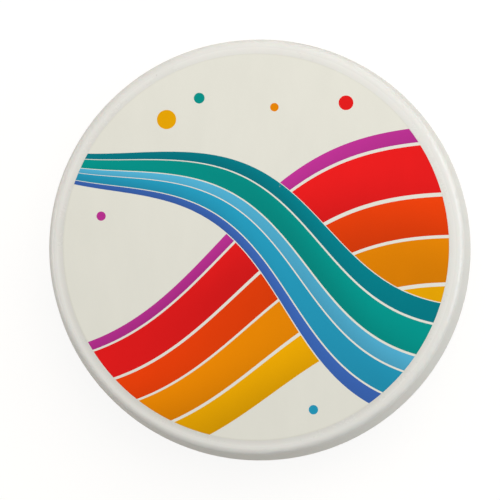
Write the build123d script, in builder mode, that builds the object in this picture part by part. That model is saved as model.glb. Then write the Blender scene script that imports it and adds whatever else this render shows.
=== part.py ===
from build123d import *
from math import cos, radians, sin, tan
import os

# Finger moistener: a low moulded tub of gel with a snap lid that carries a round label.
# Millimetres and degrees, +Z up, origin at the centre of the ring that the tub stands on.

# Cup of the tub
cavity_diameter = 58.55
cavity_draft = 2.5
tub_wall = 1.2
floor_thickness = 1.3
floor_corner_radius = 1.0
foot_recess = 0.6
foot_width = 3.6
foot_edge_radius = 1.2
gate_dimple_diameter = 4.4
gate_dimple_depth = 0.35

# Flange that the skirt of the lid comes down to
flange_thickness = 1.4
flange_edge_radius = 0.5
flange_root_radius = 0.6

# Neck with the bead that the lid snaps over
neck_wall = 1.0
neck_draft = 0.5
lip_rounding = 0.3
bead_height = 0.35
bead_width = 1.2
bead_drop = 1.6

# Gel in the cup
gel_depth = 6.6
gel_clearance = 0.1
meniscus_height = 0.7
meniscus_width = 2.0
headroom = 5.4

# Lid
plate_thickness = 1.2
rim_width = 2.2
rim_edge_radius = 0.8
recess_depth = 0.25
recess_edge_radius = 0.1
skirt_wall = 1.0
skirt_flare = 8.0
skirt_gap = 0.5
skirt_tail = 1.8
skirt_edge_radius = 0.3
split_gap = 0.3

# Ridges inside the skirt that catch under the bead
snap_count = 6
snap_arc = 36.0
snap_width = 2.0
snap_crest = 0.5
snap_rounding = 0.2
snap_clearance = 0.1
snap_play = 0.1
ridge_root = 0.3

# Nibs inside the skirt that hold the liner
nib_arc = 12.0
nib_width = 0.9
nib_crest = 0.25
nib_rounding = 0.1
nib_clearance = 0.12

# Liner and label
liner_thickness = 1.0
liner_clearance = 0.1
seat_fillet = 0.25
label_thickness = 0.2
label_gap = 0.05

# Heights, from the foot upwards
floor_z = foot_recess + floor_thickness
gel_z = floor_z + gel_depth
lip_z = gel_z + headroom
liner_seat_z = lip_z + liner_thickness
label_seat_z = liner_seat_z + plate_thickness
rim_z = label_seat_z + recess_depth

# Heights of the closure, from the lip downwards
bead_top_z = lip_z - bead_drop
bead_z = bead_top_z - bead_width / 2
bead_bottom_z = bead_top_z - bead_width
snap_top_z = bead_bottom_z - snap_play
snap_bottom_z = snap_top_z - snap_width
skirt_edge_z = snap_bottom_z - skirt_tail
flange_top_z = skirt_edge_z - split_gap
flange_bottom_z = flange_top_z - flange_thickness


def cavity_radius(z):
    """Radius of the cup's inner wall at height z, narrowing towards the floor."""
    return cavity_diameter / 2 - (lip_z - z) * tan(radians(cavity_draft))


def cup_radius(z):
    """Radius of the cup's outer wall at height z, one wall outside the cavity."""
    return cavity_radius(z) + tub_wall


def neck_radius(z):
    """Radius of the neck's outer face at height z, widening slightly downwards."""
    return cavity_diameter / 2 + neck_wall + (lip_z - z) * tan(radians(neck_draft))


# Radii of the closure, from the neck outwards
bead_radius = neck_radius(bead_z) + bead_height
lid_bore_radius = bead_radius + skirt_gap


def skirt_inner_radius(z):
    """Radius of the skirt's inner face at height z, flaring downwards from the liner seat."""
    return lid_bore_radius + (liner_seat_z - z) * tan(radians(skirt_flare))


def skirt_outer_radius(z):
    """Radius of the skirt's outer face at height z, one wall outside the inner face."""
    return skirt_inner_radius(z) + skirt_wall


recess_radius = skirt_outer_radius(rim_z) - rim_width
label_radius = recess_radius - label_gap
liner_radius = lid_bore_radius - seat_fillet - liner_clearance
flange_radius = skirt_outer_radius(skirt_edge_z)
foot_inner_radius = cup_radius(0) - foot_width
snap_radius = bead_radius + snap_clearance
nib_radius = neck_radius(lip_z) + nib_clearance

# Rings of ridges in the skirt: arc of each, turn of the first, the heights of the ridge's top, crest top,
# crest bottom and bottom, the radius of its crest and the rounding of the crest's edges
half_pitch = 180 / snap_count
snap_crest_top_z = (snap_top_z + snap_bottom_z + snap_crest) / 2
snap_heights = (snap_top_z, snap_crest_top_z, snap_crest_top_z - snap_crest, snap_bottom_z)
nib_heights = (lip_z, lip_z, lip_z - nib_crest, lip_z - nib_width)
ridge_rings = (
    (snap_arc, 0, snap_heights, snap_radius, snap_rounding),
    (nib_arc, half_pitch, nib_heights, nib_radius, nib_rounding),
)


def corner(sketch, r, z):
    """The vertex of a radial profile that lies nearest to radius r and height z."""
    return sketch.vertices().sort_by_distance((r, z, 0))[0]


def radial_plane(turn):
    """Upright plane through the axis, turned about it, with x outwards and y upwards."""
    outward = (cos(radians(turn)), sin(radians(turn)), 0)
    sideways = (sin(radians(turn)), -cos(radians(turn)), 0)
    return Plane(origin=(0, 0, 0), x_dir=outward, z_dir=sideways)


def ridge_planes(arc, shift):
    """Planes at which the ridges of one ring start, so that each is centred on its share of the turn."""
    pitch = 360 / snap_count
    return [radial_plane(i * pitch + shift - arc / 2) for i in range(snap_count)]


# Tub: one turned shell with a foot ring below, and a flange, neck and bead above
with BuildPart() as tub:
    with BuildSketch(Plane.XZ) as tub_profile:
        with BuildLine():
            Polyline(
                (0, floor_z),
                (0, foot_recess + gate_dimple_depth),
                (gate_dimple_diameter / 2, foot_recess + gate_dimple_depth),
                (gate_dimple_diameter / 2, foot_recess),
                (foot_inner_radius - foot_recess, foot_recess),
                (foot_inner_radius, 0),
                (cup_radius(0), 0),
                (cup_radius(flange_bottom_z), flange_bottom_z),
                (flange_radius, flange_bottom_z),
                (flange_radius, flange_top_z),
                (neck_radius(flange_top_z), flange_top_z),
                (neck_radius(bead_bottom_z), bead_bottom_z),
            )
            ThreePointArc(
                (neck_radius(bead_bottom_z), bead_bottom_z),
                (bead_radius, bead_z),
                (neck_radius(bead_top_z), bead_top_z),
            )
            Polyline(
                (neck_radius(bead_top_z), bead_top_z),
                (neck_radius(lip_z), lip_z),
                (cavity_radius(lip_z), lip_z),
                (cavity_radius(floor_z), floor_z),
                (0, floor_z),
            )
        make_face()
        fillet(corner(tub_profile, cup_radius(0), 0), foot_edge_radius)
        fillet(corner(tub_profile, cup_radius(flange_bottom_z), flange_bottom_z), flange_root_radius)
        fillet(corner(tub_profile, flange_radius, flange_bottom_z), flange_edge_radius)
        fillet(corner(tub_profile, flange_radius, flange_top_z), flange_edge_radius)
        fillet(corner(tub_profile, neck_radius(lip_z), lip_z), lip_rounding)
        fillet(corner(tub_profile, cavity_radius(lip_z), lip_z), lip_rounding)
        fillet(corner(tub_profile, cavity_radius(floor_z), floor_z), floor_corner_radius)
    revolve(axis=Axis.Z)
tub.part.label = "tub"

# Gel: fills the cup to its depth and climbs a little where it meets the wall
with BuildPart() as gel_cake:
    gel_edge_z = gel_z + meniscus_height
    gel_edge_radius = cavity_radius(gel_edge_z) - gel_clearance
    gel_floor_radius = cavity_radius(floor_z) - gel_clearance
    meniscus_start = (gel_edge_radius - meniscus_width, gel_z)
    with BuildSketch(Plane.XZ) as gel_profile:
        with BuildLine():
            Polyline(
                meniscus_start,
                (0, gel_z),
                (0, floor_z),
                (gel_floor_radius, floor_z),
                (gel_edge_radius, gel_edge_z),
            )
            TangentArc(meniscus_start, (gel_edge_radius, gel_edge_z), tangent=(1, 0))
        make_face()
        fillet(corner(gel_profile, gel_floor_radius, floor_z), floor_corner_radius)
    revolve(axis=Axis.Z)
gel_cake.part.label = "gel_cake"

# Lid: one turned shell with a sunk seat for the label, then snap ridges and liner nibs in the skirt
with BuildPart() as lid:
    with BuildSketch(Plane.XZ) as lid_profile:
        with BuildLine():
            Polyline(
                (0, liner_seat_z),
                (lid_bore_radius, liner_seat_z),
                (skirt_inner_radius(skirt_edge_z), skirt_edge_z),
                (skirt_outer_radius(skirt_edge_z), skirt_edge_z),
                (skirt_outer_radius(rim_z), rim_z),
                (recess_radius, rim_z),
                (recess_radius, label_seat_z),
                (0, label_seat_z),
                close=True,
            )
        make_face()
        fillet(corner(lid_profile, lid_bore_radius, liner_seat_z), seat_fillet)
        fillet(corner(lid_profile, skirt_inner_radius(skirt_edge_z), skirt_edge_z), skirt_edge_radius)
        fillet(corner(lid_profile, skirt_outer_radius(skirt_edge_z), skirt_edge_z), skirt_edge_radius)
        fillet(corner(lid_profile, skirt_outer_radius(rim_z), rim_z), rim_edge_radius)
        fillet(corner(lid_profile, recess_radius, rim_z), recess_edge_radius)
    revolve(axis=Axis.Z)
    for arc, shift, heights, crest_radius, rounding in ridge_rings:
        top_z, crest_top_z, crest_bottom_z, bottom_z = heights
        top_radius = skirt_inner_radius(top_z)
        bottom_radius = skirt_inner_radius(bottom_z)
        with BuildSketch(*ridge_planes(arc, shift)) as ridge_profile:
            with BuildLine():
                Polyline(
                    (top_radius + ridge_root, top_z),
                    (top_radius, top_z),
                    (crest_radius, crest_top_z),
                    (crest_radius, crest_bottom_z),
                    (bottom_radius, bottom_z),
                    (bottom_radius + ridge_root, bottom_z),
                    close=True,
                )
            make_face()
            fillet(corner(ridge_profile, crest_radius, crest_top_z), rounding)
            fillet(corner(ridge_profile, crest_radius, crest_bottom_z), rounding)
        revolve(axis=Axis.Z, revolution_arc=arc)
lid.part.label = "lid"

# Liner: foamed disc that the lid presses on the lip
with BuildPart() as lid_liner:
    with BuildSketch(Plane.XY.offset(lip_z)):
        Circle(liner_radius)
    extrude(amount=liner_thickness)
lid_liner.part.label = "lid_liner"

# Label: thin disc in the recess of the lid
with BuildPart() as lid_label:
    with BuildSketch(Plane.XY.offset(label_seat_z)):
        Circle(label_radius)
    extrude(amount=label_thickness)
lid_label.part.label = "lid_label"

os.makedirs("parts", exist_ok=True)
for piece in (tub, gel_cake, lid, lid_liner, lid_label):
    export_step(piece.part, f"parts/{piece.part.label}.step")
    size = piece.part.bounding_box().size
    print(f"{piece.part.label}: {size.X:.2f} x {size.Y:.2f} x {size.Z:.2f} mm, {piece.part.volume:.0f} mm3")
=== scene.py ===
"""Looks of a finger moistener: a low white tub of gel, closed by a snap lid with a round printed label.

Metres, +Z up, origin at the centre of the ring that the tub stands on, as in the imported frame.
"""

import math

import bpy
from mathutils import Matrix, Vector


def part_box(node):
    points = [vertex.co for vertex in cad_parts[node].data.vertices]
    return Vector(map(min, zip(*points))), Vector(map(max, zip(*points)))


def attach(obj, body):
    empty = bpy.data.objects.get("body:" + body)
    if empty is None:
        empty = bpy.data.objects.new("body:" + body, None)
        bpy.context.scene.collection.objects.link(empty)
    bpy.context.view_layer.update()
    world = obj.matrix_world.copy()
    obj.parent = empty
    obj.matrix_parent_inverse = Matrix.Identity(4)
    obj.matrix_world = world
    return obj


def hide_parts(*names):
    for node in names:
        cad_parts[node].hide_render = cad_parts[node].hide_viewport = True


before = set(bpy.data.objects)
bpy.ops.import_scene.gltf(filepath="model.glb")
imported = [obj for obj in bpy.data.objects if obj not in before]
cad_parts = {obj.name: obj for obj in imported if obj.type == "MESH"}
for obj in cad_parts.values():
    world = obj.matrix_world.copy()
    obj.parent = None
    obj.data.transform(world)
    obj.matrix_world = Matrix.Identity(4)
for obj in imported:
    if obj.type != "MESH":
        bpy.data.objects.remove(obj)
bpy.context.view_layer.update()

MM = 0.001

# Places read from the frame
_, tub_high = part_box("tub")
gel_low, gel_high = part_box("gel_cake")
lid_low, lid_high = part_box("lid")
liner_low, liner_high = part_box("lid_liner")
label_low, label_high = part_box("lid_label")
label_radius = label_high.x
rim_top = lid_high.z
skirt_edge = lid_low.z
skirt_edge_radius = lid_high.x
lip_top = tub_high.z
flange_radius = tub_high.x

# Sizes of the lid, its label and its liner that the boxes don't give
LABEL_GAP = 0.05 * MM
LABEL_REACH = math.radians(106)
SEAT_ROUNDING = 0.1 * MM
SEAT_FIT = 0.003 * MM
RIM_WIDTH = 2.2 * MM
SKIRT_FLARE = math.radians(8)
LINER_ROUNDING = 0.15 * MM
LIP_PRESS = 0.12 * MM
LIP_PRESS_WIDTH = 1.1 * MM
LIP_PRESS_STEPS = 12
seat_radius = label_radius + LABEL_GAP
rim_radius = seat_radius + RIM_WIDTH
disc_radius = seat_radius + SEAT_ROUNDING + (SEAT_ROUNDING + SEAT_FIT) * math.cos(LABEL_REACH)

# Sizes of the tub that its box doesn't give; the stub's pit is in shares of its radius and rounding
FLANGE_DEPTH = 1.7 * MM
SPLIT_GAP = 0.3 * MM
NECK_RADIUS = 30.3 * MM
LIP_RADIUS = 29.8 * MM
FOOT_RADIUS = 28.8 * MM
FOOT_RECESS = 0.6 * MM
GATE_DIMPLE_DEPTH = 0.35 * MM
STUB_RADIUS = 0.8 * MM
STUB_HEIGHT = 0.45 * MM
STUB_ROUNDING = 0.15 * MM
STUB_FOOT = 1.3
STUB_PIT = 0.45
STUB_PIT_EDGE = 0.6
STUB_PIT_MIDDLE = 0.9
MARK_PROUD = 0.05 * MM
MARK_TAPER = 0.93
dimple_level = FOOT_RECESS + GATE_DIMPLE_DEPTH

# Sizes of the gel and its bubbles
GEL_DRAFT = math.radians(2.5)
GEL_CORNER = 1.0 * MM
GEL_WETTING = 0.08 * MM
GEL_PALE_EDGE = 3.0 * MM
BED_STEPS = 12
MENISCUS_HEIGHT = 0.7 * MM
MENISCUS_WIDTH = 2.0 * MM
MENISCUS_STEPS = 8
BUBBLE_SINK = 0.6
BUBBLE_MARGIN = 0.6 * MM
BUBBLES_INSIDE = 0.12

# How turned meshes are made
TURNING_CORE = 1.0 * MM
MERGE_DISTANCE = 0.001 * MM
RIPPLE_FADE = 0.6
SHARP_ANGLE = math.radians(40)


def linear(red, green, blue):
    """A colour given as it looks on screen, 0 to 255, as the linear colour that a shader takes."""
    def channel(value):
        value = value / 255
        return value / 12.92 if value <= 0.04045 else ((value + 0.055) / 1.055) ** 2.4
    return (channel(red), channel(green), channel(blue), 1.0)


# Colours as they look on screen in plain light
PLASTIC_WHITE = linear(229, 226, 218)
TUB_WHITE = linear(229, 227, 220)
RUBBED_GREY = linear(196, 194, 188)
# Tint of seam dirt and of painted shadow along seams
SEAM_DIRT_AND_SHADOW_TINT = linear(196, 192, 185)
DUST_GREY = linear(190, 184, 172)
CREAM = linear(229, 226, 213)
CUT_EDGE_GREY = linear(226, 223, 211)
GEL_PINK = linear(238, 176, 174)
GEL_PALE = linear(247, 216, 212)
FOAM_WHITE = linear(240, 239, 234)
RED = linear(226, 26, 26)
RED_ORANGE = linear(228, 62, 6)
ORANGE = linear(229, 132, 0)
AMBER = linear(231, 164, 0)
TEAL = linear(0, 142, 132)
DARK_TEAL = linear(0, 120, 130)
BLUE = linear(36, 150, 182)
LIGHT_BLUE = linear(80, 172, 204)
NAVY_BLUE = linear(58, 98, 172)
MAGENTA = linear(184, 48, 142)
BARE = (1.0, 1.0, 1.0, 0.0)
WHITE = (1.0, 1.0, 1.0, 1.0)

# Effects that materials share: where they start and how they fade
NOISE_MIDDLE = 0.5
FLOW_RELIEF = 0.6
FLOW_GLOSS = 0.7
HAIRLINE_TURNS = (0.5, 2.2)
HAIRLINE_SOFTNESS = 0.05

# Moulded plastic: how much wear, scuffs and dust change it, and its matt, polished and rounded places
FLOW_DARK = 0.985
FLOW_LIGHT = 1.015
GLOSS_SPREAD = 0.14
PEBBLE_DEPTH = 0.006 * MM
NICK_DEPTH = 0.004 * MM
WEAR_TINT = 0.16
WEAR_ROUGHNESS = 0.12
SCUFF_TINT = 0.5
SCUFF_ROUGHNESS = 0.15
DUST_TINT = 0.35
MATT_BELOW_RIM = 0.3 * MM
MATT_FADE = 0.4 * MM
MATT_ROUGHNESS = 0.38
POLISH_INSET = 0.45 * MM
POLISH_DROP = 0.1 * MM
POLISH_ROUGHNESS = 0.11
POLISH_CORE = 0.35 * MM
POLISH_REACH = 0.8 * MM
RIM_ROUNDING = 1.15 * MM

# Edges that wear: radius, height and how far the wear reaches
LID_EDGES = (
    (rim_radius, rim_top, 1.2 * MM),
    (skirt_edge_radius, skirt_edge, 0.8 * MM),
)
TUB_EDGES = (
    (flange_radius, skirt_edge - FLANGE_DEPTH / 2, 1.0 * MM),
    (FOOT_RADIUS, 0.0, 1.4 * MM),
    (LIP_RADIUS, lip_top, 0.8 * MM),
)

# Seams that gather dirt; along the label's seam the darkening is also a painted shadow, deeper to the lower
# left
LABEL_SEAM_DIRT_AND_SHADOW = {
    "Seam_Radius": disc_radius, "Seam_Height": rim_top, "Reach": 1.05 * MM, "Sweep": (-0.23, -0.40, 0.0),
    "Amount": 0.22,
}
# On the label's own cut edge the same dirt and painted shadow reach less far
LABEL_EDGE_DIRT_AND_SHADOW = {**LABEL_SEAM_DIRT_AND_SHADOW, "Reach": 0.35 * MM, "Amount": 0.15}
FLANGE_SEAM = {
    "Seam_Radius": NECK_RADIUS, "Seam_Height": skirt_edge - SPLIT_GAP, "Reach": 0.9 * MM, "Amount": 0.10,
}

# Label paper
CUT_EDGE = 0.09 * MM
PAPER_DEPTH = 0.006 * MM
PAPER_ROUGHNESS = 0.36
PAPER_ROUGHNESS_SPREAD = 0.14
PAPER_SCUFF_TINT = 0.12
PAPER_SCUFF_ROUGHNESS = 0.1
PAPER_DUST_TINT = 0.4

# Label layout, in shares of the label's radius and of each sweep's breadth
RIBBON_GAP = 0.009
RIBBON_SHADE = 0.90
RIBBON_LIGHT = 1.05
FOLD_WAVES = 3.1
FOLD_SLANT = 7.0
FOLD_SHADE = 0.08
RIBBON_SWEEPS = (
    {
        "Turn": math.radians(20), "Lift": -0.33, "Sway": 0.17, "Waves": 2.3, "Phase": 0.4,
        "Narrow": 0.33, "Wide": 0.55,
        "ribbons": ((AMBER, 1.3), (ORANGE, 1.5), (RED_ORANGE, 1.3), (RED, 1.6), (MAGENTA, 0.55)),
    },
    {
        "Turn": math.radians(-28), "Lift": 0.02, "Sway": 0.16, "Waves": 2.9, "Phase": 2.3,
        "Narrow": 0.09, "Wide": 0.32,
        "ribbons": ((NAVY_BLUE, 0.7), (BLUE, 1.2), (LIGHT_BLUE, 0.8), (TEAL, 1.5), (DARK_TEAL, 1.0)),
    },
)
LABEL_DOTS = (
    (-0.46, 0.66, 0.050, AMBER),
    (-0.29, 0.77, 0.028, TEAL),
    (0.10, 0.72, 0.022, ORANGE),
    (0.47, 0.74, 0.038, RED),
    (-0.80, 0.16, 0.024, MAGENTA),
    (0.30, -0.84, 0.024, BLUE),
)

# Gel and foam
GEL_ROUGHNESS = 0.06
GEL_ROUGHNESS_SPREAD = 0.16
GEL_WIPE_DEPTH = 0.05 * MM
BUBBLE_ROUGHNESS = 0.02
BUBBLE_ROUGHNESS_SPREAD = 0.1
FOAM_CELLS = 1700.0
FOAM_CELL_SHADE = 0.93
FOAM_DEPTH = 0.05 * MM

# Stage and light
FLOOR_WHITE = linear(190, 184, 173)
FLOOR_GLOW = 1.31
FLOOR_GLOW_SHARE = 0.67
FLOOR_HALF = 1.5
FLOOR_DROP = 0.02 * MM
SKY_LIGHT = 0.12
PLAIN = (1.0, 1.0, 1.0)
COOL = (0.93, 1.0, 1.07)

# Viewpoint: almost straight down, leaning a little towards the lower right of the picture
PICTURE_SIZE = 500
LABEL_PIXELS = 193.9
LABEL_PIXEL_X = 255.1
LABEL_PIXEL_Y = 246.4
VIEW_DISTANCE = 0.36
VIEW_LEAN = math.radians(4.9)
VIEW_TURN = math.radians(-34)
SENSOR_WIDTH = 36.0
NEAREST_VIEW = 0.01

# Steps of vector arithmetic that give a number, and the kinds of socket that default values ask for
NUMBERS_OF_VECTORS = ("LENGTH", "DISTANCE", "DOT_PRODUCT")
SOCKET_KINDS = {float: "NodeSocketFloat", int: "NodeSocketInt", tuple: "NodeSocketVector"}


class Graph:
    """Short calls for filling a node tree."""

    def __init__(self, tree):
        self.tree = tree

    def feed(self, socket, value):
        """Joins a socket to another socket, or sets its value."""
        if isinstance(value, bpy.types.NodeSocket):
            self.tree.links.new(value, socket)
        else:
            socket.default_value = value

    def add(self, kind, sockets=None, **settings):
        """A new node, with its settings made first and its sockets fed after."""
        node = self.tree.nodes.new(kind)
        for name, value in settings.items():
            setattr(node, name, value)
        for key, value in (sockets or {}).items():
            self.feed(node.inputs[key], value)
        return node

    def math(self, operation, *values):
        """One step of arithmetic on numbers."""
        node = self.add("ShaderNodeMath", operation=operation)
        for socket, value in zip(node.inputs, values):
            self.feed(socket, value)
        return node.outputs[0]

    def vector(self, operation, *values):
        """One step of arithmetic on vectors."""
        node = self.add("ShaderNodeVectorMath", operation=operation)
        for socket, value in zip(node.inputs, values):
            self.feed(socket, value)
        return node.outputs["Value" if operation in NUMBERS_OF_VECTORS else "Vector"]

    def blend(self, factor, first, second, mode="MIX"):
        """Two colours mixed by a factor."""
        node = self.add("ShaderNodeMix", data_type="RGBA", blend_type=mode)
        for index, value in ((0, factor), (6, first), (7, second)):
            self.feed(node.inputs[index], value)
        return node.outputs[2]

    def ease(self, value, start, end, low=0.0, high=1.0):
        """Smooth step of a value from low at start to high at end."""
        node = self.add("ShaderNodeMapRange", interpolation_type="SMOOTHSTEP")
        for index, number in enumerate((value, start, end, low, high)):
            self.feed(node.inputs[index], number)
        return node.outputs[0]

    def half_up(self, value):
        """A number from -1 to 1 as one from 0 to 1."""
        return self.math("MULTIPLY_ADD", value, 0.5, 0.5)

    def noise(self, vector, scale, detail=2.0, roughness=0.5):
        """Noise between 0 and 1, at features per metre."""
        sockets = {"Vector": vector, "Scale": scale, "Detail": detail, "Roughness": roughness}
        return self.add("ShaderNodeTexNoise", sockets).outputs["Fac"]

    def split(self, vector):
        """The three numbers of a vector."""
        return self.add("ShaderNodeSeparateXYZ", {0: vector}).outputs

    def join(self, x, y, z):
        """A vector of three numbers."""
        return self.add("ShaderNodeCombineXYZ", {0: x, 1: y, 2: z}).outputs[0]

    def turned(self, vector, angle):
        """A vector turned about the axis."""
        sockets = {"Vector": vector, "Angle": angle}
        return self.add("ShaderNodeVectorRotate", sockets, rotation_type="Z_AXIS").outputs[0]

    def place(self):
        """The point on the surface, in the frame's own metres."""
        return self.add("ShaderNodeTexCoord").outputs["Object"]

    def from_axis(self, place):
        """Distance of a place from the axis."""
        x, y, _ = self.split(place)
        return self.vector("LENGTH", self.join(x, y, 0.0))

    def circle_distance(self, place, radius, height):
        """Distance of a place from a circle about the axis, given by its radius and height."""
        level = self.split(place)[2]
        return self.vector("DISTANCE", self.join(self.from_axis(place), level, 0.0),
                           self.join(radius, height, 0.0))


def shader_group(name, inputs, outputs):
    """A shader group with named inputs and their defaults; gives its graph, its inputs and its end node."""
    tree = bpy.data.node_groups.new(name, "ShaderNodeTree")
    for label, default in inputs.items():
        socket = tree.interface.new_socket(label, in_out="INPUT", socket_type=SOCKET_KINDS[type(default)])
        socket.default_value = default
    for label in outputs:
        tree.interface.new_socket(label, in_out="OUTPUT", socket_type="NodeSocketFloat")
    graph = Graph(tree)
    return graph, graph.add("NodeGroupInput").outputs, graph.add("NodeGroupOutput").inputs


# Effects that several materials share

def make_moulded_skin():
    """Satin skin of moulded plastic: fine pebble, slow waves where the melt flowed, uneven gloss."""
    inputs = {"Pebble Scale": 2600.0, "Flow Scale": 110.0, "Gloss": 0.4, "Gloss Spread": 0.1}
    graph, given, made = shader_group("moulded skin", inputs, ("Height", "Roughness", "Tone"))
    place = graph.place()
    pebble = graph.noise(place, given["Pebble Scale"], detail=2.0, roughness=0.55)
    flow = graph.noise(place, given["Flow Scale"], detail=3.0, roughness=0.5)
    graph.feed(made["Height"], graph.math("MULTIPLY_ADD", flow, FLOW_RELIEF, pebble))
    fine = graph.math("MULTIPLY", pebble, 1.0 - FLOW_GLOSS)
    mixed = graph.math("MULTIPLY_ADD", flow, FLOW_GLOSS, fine)
    spread = graph.math("SUBTRACT", mixed, NOISE_MIDDLE)
    graph.feed(made["Roughness"], graph.math("MULTIPLY_ADD", spread, given["Gloss Spread"], given["Gloss"]))
    graph.feed(made["Tone"], flow)
    return graph.tree


def make_edge_wear():
    """Rubbed and nicked places along one turned edge, given by its radius and height."""
    inputs = {"Edge Radius": 0.03, "Edge Height": 0.0, "Reach": 0.001, "Nick Scale": 420.0}
    graph, given, made = shader_group("edge wear", inputs, ("Wear",))
    place = graph.place()
    away = graph.circle_distance(place, given["Edge Radius"], given["Edge Height"])
    near = graph.ease(away, 0.0, given["Reach"], low=1.0, high=0.0)
    nicks = graph.noise(place, given["Nick Scale"], detail=4.0, roughness=0.65)
    graph.feed(made["Wear"], graph.ease(graph.math("MULTIPLY", near, nicks), start=0.38, end=0.56))
    return graph.tree


def make_seam_dirt_and_shadow():
    """Faint, patchy dirt and painted shadow along a turned seam, given by radius and height, deeper to one
    side.
    """
    inputs = {"Seam Radius": 0.03, "Seam Height": 0.0, "Reach": 0.0005, "Sweep": (0.0, 0.0, 0.0),
              "Amount": 0.1}
    graph, given, made = shader_group("seam dirt and shadow", inputs, ("Dirt",))
    place = graph.place()
    away = graph.circle_distance(place, given["Seam Radius"], given["Seam Height"])
    near = graph.ease(away, 0.0, given["Reach"], low=1.0, high=0.0)
    patches = graph.ease(graph.noise(place, scale=160.0, detail=3.0), start=0.3, end=0.7, low=0.8)
    # Painted shadow: the darkening grows towards the given side.
    lean = graph.math("DIVIDE", graph.vector("DOT_PRODUCT", place, given["Sweep"]), given["Seam Radius"])
    swept = graph.math("MULTIPLY", graph.math("ADD", lean, 1.0), given["Amount"])
    graph.feed(made["Dirt"], graph.math("MULTIPLY", graph.math("MULTIPLY", near, patches), swept))
    return graph.tree


def make_hairlines():
    """Hairline scuffs from handling: two sets of thin broken strokes at different turns."""
    inputs = {"Scale": 240.0, "Stretch": 28.0, "Cut": 0.70}
    graph, given, made = shader_group("hairlines", inputs, ("Strokes",))
    sets = []
    for turn in HAIRLINE_TURNS:
        x, y, z = graph.split(graph.turned(graph.place(), turn))
        stretched = graph.join(graph.math("DIVIDE", x, given["Stretch"]), y, z)
        stroke = graph.noise(stretched, given["Scale"], detail=6.0, roughness=0.7)
        full = graph.math("ADD", given["Cut"], HAIRLINE_SOFTNESS)
        sets.append(graph.ease(stroke, given["Cut"], full))
    graph.feed(made["Strokes"], graph.math("MAXIMUM", *sets))
    return graph.tree


def make_dust():
    """Sparse dust specks that settle on upward faces."""
    inputs = {"Cells": 260.0, "Speck": 0.05, "Share": 0.05}
    graph, given, made = shader_group("dust", inputs, ("Specks",))
    cells = graph.add("ShaderNodeTexVoronoi", {"Vector": graph.place(), "Scale": given["Cells"]})
    size = graph.noise(graph.place(), scale=3000.0, detail=1.0)
    reach = graph.math("MULTIPLY", given["Speck"], graph.math("ADD", size, NOISE_MIDDLE))
    speck = graph.math("LESS_THAN", cells.outputs["Distance"], reach)
    chosen = graph.math("LESS_THAN", graph.split(cells.outputs["Color"])[0], given["Share"])
    up = graph.split(graph.add("ShaderNodeNewGeometry").outputs["Normal"])[2]
    settled = graph.ease(up, start=0.5, end=0.9)
    graph.feed(made["Specks"], graph.math("MULTIPLY", graph.math("MULTIPLY", speck, chosen), settled))
    return graph.tree


def make_mottle():
    """Soft uneven tone about 1, stretched along Y by choice, for inks, gel and foam."""
    inputs = {"Scale": 180.0, "Stretch": 1.0, "Contrast": 0.06}
    graph, given, made = shader_group("mottle", inputs, ("Tone",))
    x, y, z = graph.split(graph.place())
    spread = graph.join(x, graph.math("DIVIDE", y, given["Stretch"]), z)
    cloud = graph.noise(spread, given["Scale"], detail=4.0, roughness=0.6)
    cloud = graph.math("SUBTRACT", cloud, NOISE_MIDDLE)
    graph.feed(made["Tone"], graph.math("MULTIPLY_ADD", cloud, given["Contrast"], 1.0))
    return graph.tree


# The label's own motifs

def make_ribbon_sweep():
    """Place within a sweep of swaying ribbons: across it from lower to upper edge, and along it."""
    inputs = {"Disc Radius": 0.03, "Turn": 0.0, "Lift": 0.0, "Sway": 0.1, "Waves": 2.0, "Phase": 0.0,
              "Narrow": 0.2, "Wide": 0.4}
    graph, given, made = shader_group("ribbon sweep", inputs, ("Across", "Along", "Inside"))
    x, y, _ = graph.split(graph.turned(graph.place(), graph.math("MULTIPLY", given["Turn"], -1.0)))
    along = graph.math("DIVIDE", x, given["Disc Radius"])
    height = graph.math("DIVIDE", y, given["Disc Radius"])
    wave = graph.math("SINE", graph.math("MULTIPLY_ADD", along, given["Waves"], given["Phase"]))
    middle = graph.math("MULTIPLY_ADD", wave, given["Sway"], given["Lift"])
    grow = graph.math("SUBTRACT", given["Wide"], given["Narrow"])
    half = graph.math("MULTIPLY_ADD", graph.half_up(along), grow, given["Narrow"])
    share = graph.math("DIVIDE", graph.math("SUBTRACT", height, middle), half)
    inside = graph.math("LESS_THAN", graph.math("ABSOLUTE", share), 1.0)
    for label, value in (("Across", graph.half_up(share)), ("Along", along), ("Inside", inside)):
        graph.feed(made[label], value)
    return graph.tree


def make_dot():
    """A round dot on the label, placed in shares of the label's radius."""
    inputs = {"Disc Radius": 0.03, "Centre X": 0.0, "Centre Y": 0.0, "Size": 0.05}
    graph, given, made = shader_group("dot", inputs, ("Inside",))
    place = graph.vector("DIVIDE", graph.place(), graph.join(*[given["Disc Radius"]] * 3))
    x, y, _ = graph.split(place)
    centre = graph.join(given["Centre X"], given["Centre Y"], 0.0)
    away = graph.vector("DISTANCE", graph.join(x, y, 0.0), centre)
    graph.feed(made["Inside"], graph.math("LESS_THAN", away, given["Size"]))
    return graph.tree


MOULDED_SKIN = make_moulded_skin()
EDGE_WEAR = make_edge_wear()
SEAM_DIRT_AND_SHADOW = make_seam_dirt_and_shadow()
HAIRLINES = make_hairlines()
DUST = make_dust()
MOTTLE = make_mottle()
RIBBON_SWEEP = make_ribbon_sweep()
DOT = make_dot()


# Materials

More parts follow.
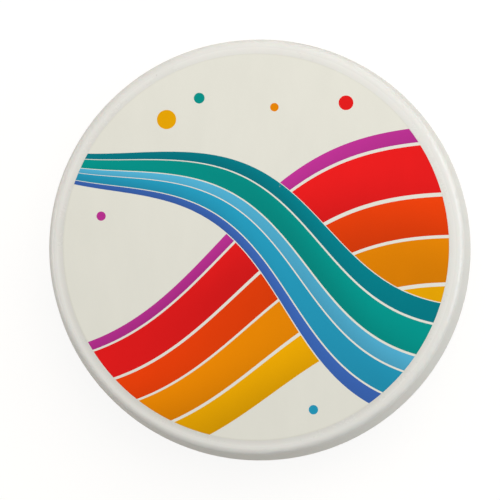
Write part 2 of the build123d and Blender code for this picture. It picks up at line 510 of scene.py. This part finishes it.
class Finish(Graph):
    """A material under way: its graph, its Principled shader and the groups placed in it."""

    def __init__(self, name):
        self.material = bpy.data.materials.new(name)
        self.material.use_nodes = True
        super().__init__(self.material.node_tree)
        self.shader = self.tree.nodes["Principled BSDF"]

    def use(self, group, **values):
        """Places a group with its own values; its sockets are named with underscores for spaces."""
        node = self.add("ShaderNodeGroup")
        node.node_tree = group
        for name, value in values.items():
            self.feed(node.inputs[name.replace("_", " ")], value)
        return node.outputs

    def tone(self, colour, value):
        """A colour made lighter or darker by a number about 1."""
        return self.blend(1.0, colour, self.join(value, value, value), "MULTIPLY")

    def tinted(self, colour, mask, share, tint):
        """A colour with a share of a tint where a mask is."""
        return self.blend(self.math("MULTIPLY", mask, share), colour, tint)

    def seam_dirt_and_shadow(self, colour, seam):
        """A colour with a seam's dirt and painted shadow over it."""
        return self.blend(self.use(SEAM_DIRT_AND_SHADOW, **seam)["Dirt"], colour, SEAM_DIRT_AND_SHADOW_TINT, "MULTIPLY")

    def corner_normal(self, radius, top, rounding):
        """The surface's own normal, but over the skirt that of a rim corner with this softer rounding."""
        x, y, z = self.split(self.place())
        out = self.from_axis(self.place())
        start = radius - rounding * math.tan((math.pi / 2 - SKIRT_FLARE) / 2)
        lean = self.math("DIVIDE", self.math("SUBTRACT", out, start), rounding)
        lean = self.math("MINIMUM", lean, math.cos(SKIRT_FLARE))
        share = self.math("DIVIDE", lean, out)
        rise = self.math("SQRT", self.math("SUBTRACT", 1.0, self.math("MULTIPLY", lean, lean)))
        soft = self.join(self.math("MULTIPLY", x, share), self.math("MULTIPLY", y, share), rise)
        near = self.math("MULTIPLY", self.math("GREATER_THAN", lean, 0.0),
                         self.math("GREATER_THAN", z, top - rounding))
        own = self.add("ShaderNodeNewGeometry").outputs["Normal"]
        return self.blend(near, own, soft)

    def relief(self, height, depth, below=None):
        """A bump of that depth in metres, over another one if given."""
        node = self.add("ShaderNodeBump", {"Height": height, "Distance": depth})
        if below is not None:
            self.feed(node.inputs["Normal"], below)
        return node.outputs["Normal"]

    def set(self, **values):
        """Feeds the shader's own sockets, named with underscores for spaces."""
        for name, value in values.items():
            self.feed(self.shader.inputs[name.replace("_", " ")], value)
        return self.material


def moulded_plastic(name, colour, worn_edges, seam, gloss, scuff, matt_top, polished_edge, corner=None):
    """White satin plastic with worn edges, a seam darkened by dirt and painted shadow, hairlines and dust.

    It is matter below a height and polished along one edge, given by its radius and height. A corner, given
    by its radius, top and rounding, is shaded as if it were that soft.
    """
    finish = Finish(name)
    skin = finish.use(MOULDED_SKIN, Gloss=gloss, Gloss_Spread=GLOSS_SPREAD)
    colour = finish.tone(colour, finish.ease(skin["Tone"], 0.3, 0.7, FLOW_DARK, FLOW_LIGHT))
    wear = 0.0
    for radius, height, reach in worn_edges:
        edge = finish.use(EDGE_WEAR, Edge_Radius=radius, Edge_Height=height, Reach=reach)
        wear = finish.math("MAXIMUM", wear, edge["Wear"])
    strokes = finish.math("MULTIPLY", finish.use(HAIRLINES)["Strokes"], scuff)
    # Dirt along the seam; on the lid by the label also a painted shadow
    colour = finish.seam_dirt_and_shadow(colour, seam)
    colour = finish.tinted(colour, wear, WEAR_TINT, RUBBED_GREY)
    colour = finish.tinted(colour, strokes, SCUFF_TINT, RUBBED_GREY)
    colour = finish.tinted(colour, finish.use(DUST)["Specks"], DUST_TINT, DUST_GREY)
    rough = finish.math("MULTIPLY_ADD", wear, WEAR_ROUGHNESS, skin["Roughness"])
    rough = finish.math("MULTIPLY_ADD", strokes, SCUFF_ROUGHNESS, rough)
    level = finish.split(finish.place())[2]
    matt = finish.ease(level, matt_top - MATT_FADE, matt_top, MATT_ROUGHNESS, 0.0)
    rough = finish.math("ADD", rough, matt)
    away = finish.circle_distance(finish.place(), *polished_edge)
    rough = finish.ease(away, POLISH_CORE, POLISH_REACH, POLISH_ROUGHNESS, rough)
    normal = finish.corner_normal(*corner) if corner else None
    normal = finish.relief(skin["Height"], PEBBLE_DEPTH, normal)
    normal = finish.relief(finish.math("MULTIPLY", wear, -1.0), NICK_DEPTH, normal)
    return finish.set(Base_Color=colour, Roughness=rough, Normal=normal, IOR=1.49,
                      Specular_IOR_Level=0.54, Subsurface_Weight=0.06, Subsurface_Scale=0.6 * MM)


def printed_label():
    """Satin paper label: cream ground, two sweeps of coloured ribbons that cross, and a few dots."""
    finish = Finish("printed label")
    colour = CREAM
    for sweep in RIBBON_SWEEPS:
        sizes = {name: value for name, value in sweep.items() if name != "ribbons"}
        place = finish.use(RIBBON_SWEEP, Disc_Radius=disc_radius, **sizes)
        inks, shades = ribbon_ramps(finish, sweep["ribbons"])
        finish.feed(inks.inputs[0], place["Across"])
        finish.feed(shades.inputs[0], place["Across"])
        fold = finish.math("SINE", finish.math("MULTIPLY_ADD", place["Across"], FOLD_SLANT,
                                               finish.math("MULTIPLY", place["Along"], FOLD_WAVES)))
        shade = finish.math("MULTIPLY_ADD", fold, FOLD_SHADE, finish.split(shades.outputs[0])[0])
        ribbons = finish.tone(inks.outputs[0], shade)
        ribbons = finish.blend(inks.outputs["Alpha"], CREAM, ribbons)
        colour = finish.blend(place["Inside"], colour, ribbons)
    for x, y, size, ink in LABEL_DOTS:
        dot = finish.use(DOT, Disc_Radius=disc_radius, Centre_X=x, Centre_Y=y, Size=size)
        colour = finish.blend(dot["Inside"], colour, ink)
    colour = finish.tone(colour, finish.use(MOTTLE, Scale=300.0, Stretch=3.0, Contrast=0.06)["Tone"])
    strokes = finish.use(HAIRLINES, Scale=300.0, Cut=0.74)["Strokes"]
    colour = finish.tinted(colour, strokes, PAPER_SCUFF_TINT, RUBBED_GREY)
    colour = finish.tinted(colour, finish.use(DUST, Share=0.03)["Specks"], PAPER_DUST_TINT, DUST_GREY)
    cut = finish.math("GREATER_THAN", finish.from_axis(finish.place()), disc_radius - CUT_EDGE)
    colour = finish.blend(cut, colour, CUT_EDGE_GREY)
    # Dirt and painted shadow just inside the label's cut edge
    colour = finish.seam_dirt_and_shadow(colour, LABEL_EDGE_DIRT_AND_SHADOW)
    gloss = finish.noise(finish.place(), scale=700.0, detail=3.0)
    rough = finish.math("MULTIPLY_ADD", gloss, PAPER_ROUGHNESS_SPREAD, PAPER_ROUGHNESS)
    rough = finish.math("MULTIPLY_ADD", strokes, PAPER_SCUFF_ROUGHNESS, rough)
    fibres = finish.noise(finish.place(), scale=1500.0, detail=3.0, roughness=0.6)
    return finish.set(Base_Color=colour, Roughness=rough, Normal=finish.relief(fibres, PAPER_DEPTH),
                      IOR=1.45, Specular_IOR_Level=0.10)


def ribbon_ramps(finish, ribbons):
    """Two colour ramps across a sweep: inks with bare gaps between, and each ribbon's dark to light."""
    inks = finish.add("ShaderNodeValToRGB")
    shades = finish.add("ShaderNodeValToRGB")
    inks.color_ramp.interpolation = "CONSTANT"
    total = sum(width for _, width in ribbons)
    edge = 0.0
    for ink, width in ribbons:
        start = edge / total
        edge += width
        end = edge / total
        for place, colour in ((start, BARE), (start + RIBBON_GAP, ink), (end - RIBBON_GAP, BARE)):
            inks.color_ramp.elements.new(place).color = colour
        for place, grey in ((start + RIBBON_GAP, RIBBON_SHADE), (end - RIBBON_GAP, RIBBON_LIGHT)):
            shades.color_ramp.elements.new(place).color = (grey, grey, grey, 1.0)
    for ramp in (inks.color_ramp, shades.color_ramp):
        ramp.elements.remove(ramp.elements[0])
        ramp.elements.remove(ramp.elements[len(ramp.elements) - 1])
    return inks, shades


def clear_gel():
    """Pale pink gel: soft and translucent, glossy on top, slightly cloudy."""
    finish = Finish("moistening gel")
    cloud = finish.use(MOTTLE, Scale=130.0, Contrast=0.10)["Tone"]
    thin = finish.ease(finish.from_axis(finish.place()), gel_high.x - GEL_PALE_EDGE, gel_high.x)
    colour = finish.tone(finish.blend(thin, GEL_PINK, GEL_PALE), cloud)
    smears = finish.noise(finish.place(), scale=260.0, detail=3.0)
    rough = finish.math("MULTIPLY_ADD", smears, GEL_ROUGHNESS_SPREAD, GEL_ROUGHNESS)
    normal = finish.relief(finish.noise(finish.place(), scale=190.0), GEL_WIPE_DEPTH)
    return finish.set(Base_Color=colour, Roughness=rough, Normal=normal, IOR=1.4, Specular_IOR_Level=0.5,
                      Subsurface_Weight=0.7, Subsurface_Scale=2.5 * MM,
                      Subsurface_Radius=(1.0, 0.55, 0.5), Coat_Weight=0.25, Coat_Roughness=0.05)


def bubble_skin():
    """Thin bright skin of the gel over an air bubble."""
    finish = Finish("bubble skin")
    colour = finish.tone(GEL_PALE, finish.use(MOTTLE, Scale=900.0, Contrast=0.10)["Tone"])
    smears = finish.noise(finish.place(), scale=2000.0)
    rough = finish.math("MULTIPLY_ADD", smears, BUBBLE_ROUGHNESS_SPREAD, BUBBLE_ROUGHNESS)
    return finish.set(Base_Color=colour, Roughness=rough, IOR=1.4)


def liner_foam():
    """White foamed sheet: closed cells of about half a millimetre, matte."""
    finish = Finish("liner foam")
    cells = finish.add("ShaderNodeTexVoronoi", {"Vector": finish.place(), "Scale": FOAM_CELLS}, feature="F1")
    walls = finish.ease(cells.outputs["Distance"], start=0.15, end=0.75)
    colour = finish.tone(FOAM_WHITE, finish.ease(walls, 0.0, 1.0, low=1.0, high=FOAM_CELL_SHADE))
    colour = finish.tone(colour, finish.use(MOTTLE, Scale=220.0, Contrast=0.06)["Tone"])
    rough = finish.ease(walls, 0.0, 1.0, low=0.55, high=0.75)
    normal = finish.relief(finish.math("SUBTRACT", 1.0, walls), FOAM_DEPTH)
    return finish.set(Base_Color=colour, Roughness=rough, Normal=normal, Specular_IOR_Level=0.3,
                      Subsurface_Weight=0.2, Subsurface_Scale=1.0 * MM)


# Trees that make pieces

def geometry_tree(name, inputs):
    """A geometry tree with named inputs and their defaults; gives its graph, inputs and end node."""
    tree = bpy.data.node_groups.new(name, "GeometryNodeTree")
    tree.interface.new_socket("Geometry", in_out="INPUT", socket_type="NodeSocketGeometry")
    for label, default in inputs.items():
        socket = tree.interface.new_socket(label, in_out="INPUT", socket_type=SOCKET_KINDS[type(default)])
        socket.default_value = default
    tree.interface.new_socket("Material", in_out="INPUT", socket_type="NodeSocketMaterial")
    tree.interface.new_socket("Geometry", in_out="OUTPUT", socket_type="NodeSocketGeometry")
    graph = Graph(tree)
    return graph, graph.add("NodeGroupInput").outputs, graph.add("NodeGroupOutput").inputs


def close_tree(graph, given, made, geometry):
    """Ends a tree: real geometry for instances, smooth but for sharp edges, with the material."""
    real = graph.add("GeometryNodeRealizeInstances", {"Geometry": geometry})
    smooth = graph.add("GeometryNodeSetShadeSmooth", {"Geometry": real.outputs[0]})
    bend = graph.add("GeometryNodeInputMeshEdgeAngle").outputs["Unsigned Angle"]
    folded = graph.math("GREATER_THAN", bend, SHARP_ANGLE)
    sharp = graph.add("GeometryNodeSetShadeSmooth",
                      {"Geometry": smooth.outputs[0], "Selection": folded, "Shade Smooth": False},
                      domain="EDGE")
    coloured = graph.add("GeometryNodeSetMaterial",
                         {"Geometry": sharp.outputs[0], "Material": given["Material"]})
    graph.feed(made["Geometry"], coloured.outputs[0])
    return graph.tree


def make_turning_tree():
    """Turns a profile, drawn as radius along X and height along Z, about the axis, and ripples its top."""
    inputs = {"Segments": 160, "Row Cuts": 2, "Ripple Height": 0.0, "Ripple Scale": 90.0,
              "Ripple Reach": 0.02, "Seed": 1.0}
    graph, given, made = geometry_tree("turned form", inputs)
    x, _, z = graph.split(graph.add("GeometryNodeInputPosition").outputs[0])
    laid = graph.join(graph.math("SUBTRACT", x, TURNING_CORE), graph.math("MULTIPLY", z, -1.0), 0.0)
    flat = graph.add("GeometryNodeSetPosition", {"Geometry": given["Geometry"], "Position": laid})
    outline = graph.add("GeometryNodeMeshToCurve", {0: flat.outputs[0]})
    rows = graph.add("GeometryNodeSubdivideCurve", {"Curve": outline.outputs[0], "Cuts": given["Row Cuts"]})
    path = graph.add("GeometryNodeCurvePrimitiveCircle",
                     {"Resolution": given["Segments"], "Radius": TURNING_CORE})
    turned = graph.add("GeometryNodeCurveToMesh",
                       {"Curve": path.outputs[0], "Profile Curve": rows.outputs[0]})
    closed = graph.add("GeometryNodeMergeByDistance",
                       {"Geometry": turned.outputs[0], "Distance": MERGE_DISTANCE})
    place = graph.add("GeometryNodeInputPosition").outputs[0]
    start = graph.math("MULTIPLY", given["Ripple Reach"], RIPPLE_FADE)
    calm = graph.ease(graph.from_axis(place), start, given["Ripple Reach"], low=1.0, high=0.0)
    up = graph.split(graph.add("GeometryNodeInputNormal").outputs[0])[2]
    top = graph.ease(up, start=0.6, end=0.9)
    swell = graph.add("ShaderNodeTexNoise",
                      {"Vector": place, "W": given["Seed"], "Scale": given["Ripple Scale"], "Detail": 1.0},
                      noise_dimensions="4D").outputs[0]
    rise = graph.math("MULTIPLY", graph.math("SUBTRACT", swell, NOISE_MIDDLE), given["Ripple Height"])
    rise = graph.math("MULTIPLY", rise, graph.math("MULTIPLY", calm, top))
    rippled = graph.add("GeometryNodeSetPosition", {"Geometry": closed.outputs[0],
                                                    "Offset": graph.join(0.0, 0.0, rise)})
    return close_tree(graph, given, made, rippled.outputs[0])


def make_bubble_tree():
    """Small air bubbles whose caps stand out of the top of a gel, more of them towards its edge."""
    inputs = {"Density": 1.0, "Smallest": 0.0001, "Largest": 0.0003, "Edge Start": 0.01,
              "Edge Radius": 0.02, "Outer Radius": 0.025, "Seed": 1}
    graph, given, made = geometry_tree("surface bubbles", inputs)
    radius = graph.from_axis(graph.add("GeometryNodeInputPosition").outputs[0])
    crowd = graph.ease(radius, given["Edge Start"], given["Edge Radius"], low=BUBBLES_INSIDE)
    up = graph.split(graph.add("GeometryNodeInputNormal").outputs[0])[2]
    top = graph.math("MULTIPLY", graph.math("GREATER_THAN", up, 0.8),
                     graph.math("LESS_THAN", radius, given["Outer Radius"]))
    points = graph.add("GeometryNodeDistributePointsOnFaces",
                       {"Mesh": given["Geometry"], "Selection": top,
                        "Density": graph.math("MULTIPLY", given["Density"], crowd), "Seed": given["Seed"]})
    bubble = graph.add("GeometryNodeMeshIcoSphere", {"Radius": 1.0, "Subdivisions": 2})
    size = graph.add("FunctionNodeRandomValue",
                     {2: given["Smallest"], 3: given["Largest"], "Seed": given["Seed"]},
                     data_type="FLOAT").outputs[1]
    sunk = graph.add("GeometryNodeTransform",
                     {"Geometry": bubble.outputs[0], "Translation": (0.0, 0.0, -BUBBLE_SINK)})
    placed = graph.add("GeometryNodeInstanceOnPoints",
                       {"Points": points.outputs[0], "Instance": sunk.outputs[0],
                        "Scale": graph.join(size, size, size)})
    return close_tree(graph, given, made, placed.outputs[0])


def make_mark_ring_tree():
    """A ring of flat round marks with sloped edges, as ejector pins leave under a moulding."""
    inputs = {"Count": 4, "Ring Radius": 0.01, "Mark Radius": 0.001, "Mark Depth": 0.0001, "Level": 0.0}
    graph, given, made = geometry_tree("ring of marks", inputs)
    ring = graph.add("GeometryNodeMeshCircle", {"Vertices": given["Count"], "Radius": given["Ring Radius"]})
    taper = graph.math("MULTIPLY", given["Mark Radius"], MARK_TAPER)
    mark = graph.add("GeometryNodeMeshCone", {"Vertices": 40, "Radius Top": given["Mark Radius"],
                                              "Radius Bottom": taper, "Depth": given["Mark Depth"]})
    level = graph.join(0.0, 0.0, given["Level"])
    lifted = graph.add("GeometryNodeSetPosition", {"Geometry": ring.outputs[0], "Offset": level})
    placed = graph.add("GeometryNodeInstanceOnPoints",
                       {"Points": lifted.outputs[0], "Instance": mark.outputs["Mesh"]})
    return close_tree(graph, given, made, placed.outputs[0])


def made_by(tree, name, source, material, body, slot, **values):
    """A plain mesh piece, made by a tree from a source mesh, on a body; the slot argument is not used."""
    piece = bpy.data.objects.new(name, source)
    bpy.context.scene.collection.objects.link(piece)
    modifier = piece.modifiers.new(name, "NODES")
    modifier.node_group = tree
    values["Material"] = material
    for item in tree.interface.items_tree:
        key = item.name.replace(" ", "_")
        if item.in_out == "INPUT" and key in values:
            modifier[item.identifier] = values[key]
    depsgraph = bpy.context.evaluated_depsgraph_get()
    result = bpy.data.meshes.new_from_object(piece.evaluated_get(depsgraph))
    piece.modifiers.remove(modifier)
    piece.data = result
    result.name = name
    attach(piece, body)
    return piece


# Profiles of the turned pieces

def profile(name, points):
    """A chain of edges through (radius, height) points, from the top of the axis outwards and down."""
    mesh = bpy.data.meshes.new(name)
    chain = [(index, index + 1) for index in range(len(points) - 1)]
    mesh.from_pydata([(radius, 0.0, height) for radius, height in points], chain, [])
    return mesh


def arc(centre, radius, start, end, steps):
    """Points on an arc in a profile, from one angle to another in degrees."""
    points = []
    for step in range(steps + 1):
        angle = math.radians(start + (end - start) * step / steps)
        points.append((centre[0] + radius * math.cos(angle), centre[1] + radius * math.sin(angle)))
    return points


def gel_profile():
    """Flat bed, edge that climbs the wall and wets it, slanted side and rounded bottom corner."""
    edge = gel_high.x + GEL_WETTING
    bed = gel_high.z - MENISCUS_HEIGHT
    floor_radius = edge - (gel_high.z - gel_low.z) * math.tan(GEL_DRAFT)
    points = [(edge * step / BED_STEPS, bed) for step in range(BED_STEPS - 1)]
    for step in range(MENISCUS_STEPS + 1):
        share = step / MENISCUS_STEPS
        points.append((edge - MENISCUS_WIDTH * (1 - share), bed + MENISCUS_HEIGHT * share ** 2))
    corner = (floor_radius - GEL_CORNER, gel_low.z + GEL_CORNER)
    points += arc(corner, GEL_CORNER, start=0, end=-90, steps=6)
    points.append((0.0, gel_low.z))
    return profile("gel profile", points)


def liner_profile():
    """Disc with soft edges, and below it the ring that the tub's lip has pressed in."""
    inner = liner_high.x - LINER_ROUNDING
    points = [(0.0, liner_high.z)]
    points += arc((inner, liner_high.z - LINER_ROUNDING), LINER_ROUNDING, start=90, end=0, steps=4)
    points += arc((inner, liner_low.z + LINER_ROUNDING), LINER_ROUNDING, start=0, end=-90, steps=4)
    for step in range(LIP_PRESS_STEPS + 1):
        share = step / LIP_PRESS_STEPS
        press = LIP_PRESS * math.sin(math.pi * share) ** 0.5
        points.append((LIP_RADIUS + LIP_PRESS_WIDTH * (0.5 - share), liner_low.z + press))
    points.append((0.0, liner_low.z))
    return profile("liner profile", points)


def label_profile():
    """Flat sheet whose cut edge is pressed against the rounded edge of its seat."""
    centre = (seat_radius + SEAT_ROUNDING, rim_top - SEAT_ROUNDING)
    edge = arc(centre, SEAT_ROUNDING + SEAT_FIT, start=math.degrees(LABEL_REACH), end=180, steps=4)
    points = [(0.0, edge[0][1])] + edge
    points += [(edge[-1][0], label_low.z), (0.0, label_low.z)]
    return profile("label profile", points)


def stub_profile():
    """Broken-off end of the runner that the tub was filled through, hanging in the gate dimple."""
    bottom = dimple_level - STUB_HEIGHT
    corner = (STUB_RADIUS - STUB_ROUNDING, bottom + STUB_ROUNDING)
    points = [(0.0, dimple_level), (STUB_RADIUS * STUB_FOOT, dimple_level)]
    points += arc(corner, STUB_ROUNDING, start=0, end=-90, steps=4)
    points.append((STUB_RADIUS * STUB_PIT, bottom + STUB_ROUNDING * STUB_PIT_EDGE))
    points.append((0.0, bottom + STUB_ROUNDING * STUB_PIT_MIDDLE))
    return profile("stub profile", points)


# The pieces and their finishes

# The lid's seam by the label carries dirt and a painted shadow
lid_finish = moulded_plastic(
    "lid plastic", PLASTIC_WHITE, LID_EDGES, LABEL_SEAM_DIRT_AND_SHADOW, gloss=0.28, scuff=0.25,
    matt_top=rim_top - MATT_BELOW_RIM, polished_edge=(rim_radius - POLISH_INSET, rim_top - POLISH_DROP),
    corner=(rim_radius, rim_top, RIM_ROUNDING))
tub_finish = moulded_plastic(
    "tub plastic", TUB_WHITE, TUB_EDGES, FLANGE_SEAM, gloss=0.36, scuff=0.35,
    matt_top=skirt_edge, polished_edge=(LIP_RADIUS, lip_top))
label_finish = printed_label()
gel_finish = clear_gel()
bubble_finish = bubble_skin()
foam_finish = liner_foam()

for node, finish in (("lid", lid_finish), ("tub", tub_finish)):
    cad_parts[node].material_slots[0].material = finish

turning = make_turning_tree()
label = made_by(turning, "label_disc", label_profile(), label_finish, "lid", "label_print", Segments=256,
                Row_Cuts=0)
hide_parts("lid_label")
gel = made_by(turning, "gel_bed", gel_profile(), gel_finish, "tub", "gel", Segments=192, Row_Cuts=3,
              Ripple_Height=0.35 * MM, Ripple_Scale=85.0, Seed=3.0,
              Ripple_Reach=gel_high.x - MENISCUS_WIDTH)
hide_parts("gel_cake")
liner = made_by(turning, "liner_disc", liner_profile(), foam_finish, "lid", "liner_foam", Segments=192,
                Row_Cuts=1)
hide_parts("lid_liner")
made_by(turning, "gate_stub", stub_profile(), tub_finish, "tub", "tub_plastic", Segments=40, Row_Cuts=0)
made_by(make_bubble_tree(), "gel_bubbles", gel.data.copy(), bubble_finish, "tub", "gel", Density=60000.0,
        Smallest=0.10 * MM, Largest=0.30 * MM, Edge_Start=12 * MM, Edge_Radius=27 * MM,
        Outer_Radius=gel_high.x - BUBBLE_MARGIN, Seed=11)
made_by(make_mark_ring_tree(), "ejector_marks", bpy.data.meshes.new("marks start"), tub_finish, "tub",
        "tub_plastic", Count=4, Ring_Radius=17 * MM, Mark_Radius=2.0 * MM, Mark_Depth=0.08 * MM,
        Level=FOOT_RECESS - MARK_PROUD)


# Stage: white floor that keeps a soft shadow, white surroundings, and soft lamps round the lid

def seen_directly(graph):
    """1 for rays from the camera and for mirrored and clear views of the background, else 0."""
    rays = graph.add("ShaderNodeLightPath").outputs
    return graph.math("MAXIMUM", rays["Is Camera Ray"],
                      graph.math("MAXIMUM", rays["Is Glossy Ray"], rays["Is Transmission Ray"]))


def pale_floor():
    """Matte white floor; most of its white is its own where it is seen directly."""
    finish = Finish("pale floor")
    finish.set(Base_Color=FLOOR_WHITE, Roughness=0.9, Specular_IOR_Level=0.1)
    glow = finish.add("ShaderNodeEmission", {"Color": WHITE, "Strength": FLOOR_GLOW})
    share = finish.math("MULTIPLY", seen_directly(finish), FLOOR_GLOW_SHARE)
    mixed = finish.add("ShaderNodeMixShader", {0: share, 1: finish.shader.outputs[0], 2: glow.outputs[0]})
    finish.feed(finish.tree.nodes["Material Output"].inputs["Surface"], mixed.outputs[0])
    return finish.material


def white_surroundings():
    """Even soft light from all round, which is plain white where it is seen directly."""
    world = bpy.data.worlds.new("white surroundings")
    world.use_nodes = True
    graph = Graph(world.node_tree)
    background = world.node_tree.nodes["Background"]
    background.inputs["Color"].default_value = WHITE
    graph.feed(background.inputs["Strength"], graph.ease(seen_directly(graph), 0.0, 1.0, low=SKY_LIGHT))
    bpy.context.scene.world = world


def soft_lamp(name, turn, height, distance, width, tall, power, mirrored=True, tint=PLAIN):
    """A flat lamp that faces the lid, at a turn about the axis and a height in degrees."""
    lamp = bpy.data.lights.new(name, "AREA")
    lamp.shape = "RECTANGLE"
    lamp.size = width
    lamp.size_y = tall
    lamp.energy = power
    lamp.color = tint
    holder = bpy.data.objects.new(name, lamp)
    turn = math.radians(turn)
    height = math.radians(height)
    towards = Vector((math.cos(turn) * math.cos(height), math.sin(turn) * math.cos(height), math.sin(height)))
    holder.location = Vector((0.0, 0.0, rim_top)) + towards * distance
    holder.rotation_euler = towards.to_track_quat("Z", "Y").to_euler()
    holder.visible_camera = False
    holder.visible_glossy = mirrored
    bpy.context.scene.collection.objects.link(holder)


def photograph_camera():
    """Camera over the lid; the aim is moved so that the label's centre lands on its pixel."""
    centre = Vector((0.0, 0.0, label_high.z))
    back = Vector((math.sin(VIEW_LEAN) * math.cos(VIEW_TURN), math.sin(VIEW_LEAN) * math.sin(VIEW_TURN),
                   math.cos(VIEW_LEAN)))
    right = Vector((0.0, 1.0, 0.0)).cross(back).normalized()
    up = back.cross(right)
    pixel = disc_radius / LABEL_PIXELS
    aim = centre - right * (LABEL_PIXEL_X - PICTURE_SIZE / 2) * pixel
    aim += up * (LABEL_PIXEL_Y - PICTURE_SIZE / 2) * pixel
    camera = bpy.data.objects.new("camera", bpy.data.cameras.new("camera"))
    camera.data.sensor_width = SENSOR_WIDTH
    camera.data.lens = SENSOR_WIDTH * VIEW_DISTANCE / (PICTURE_SIZE * pixel)
    camera.data.clip_start = NEAREST_VIEW
    facing = Matrix((right, up, back)).transposed().to_4x4()
    camera.matrix_world = Matrix.Translation(aim + back * VIEW_DISTANCE) @ facing
    bpy.context.scene.collection.objects.link(camera)
    bpy.context.scene.camera = camera


floor_mesh = bpy.data.meshes.new("floor")
floor_signs = ((-1, -1), (1, -1), (1, 1), (-1, 1))
floor_corners = [(x * FLOOR_HALF, y * FLOOR_HALF, -FLOOR_DROP) for x, y in floor_signs]
floor_mesh.from_pydata(floor_corners, [], [(0, 1, 2, 3)])
floor_mesh.materials.append(pale_floor())
floor = bpy.data.objects.new("floor", floor_mesh)
bpy.context.scene.collection.objects.link(floor)

white_surroundings()
soft_lamp("key lamp", turn=69, height=60, distance=0.32, width=0.32, tall=0.32, power=0.90, mirrored=False)
soft_lamp("side lamp", turn=8, height=22, distance=0.50, width=0.50, tall=0.13, power=0.86, tint=COOL)
soft_lamp("lower lamp", turn=-38, height=18, distance=0.50, width=0.30, tall=0.20, power=0.30, mirrored=False,
          tint=COOL)
soft_lamp("fill lamp", turn=255, height=16, distance=0.50, width=0.30, tall=0.20, power=0.18)
soft_lamp("left lamp", turn=165, height=14, distance=0.50, width=0.35, tall=0.20, power=0.23)
soft_lamp("high lamp", turn=180, height=36, distance=0.45, width=0.20, tall=0.12, power=0.24)
photograph_camera()
bpy.context.scene.view_settings.view_transform = "Standard"
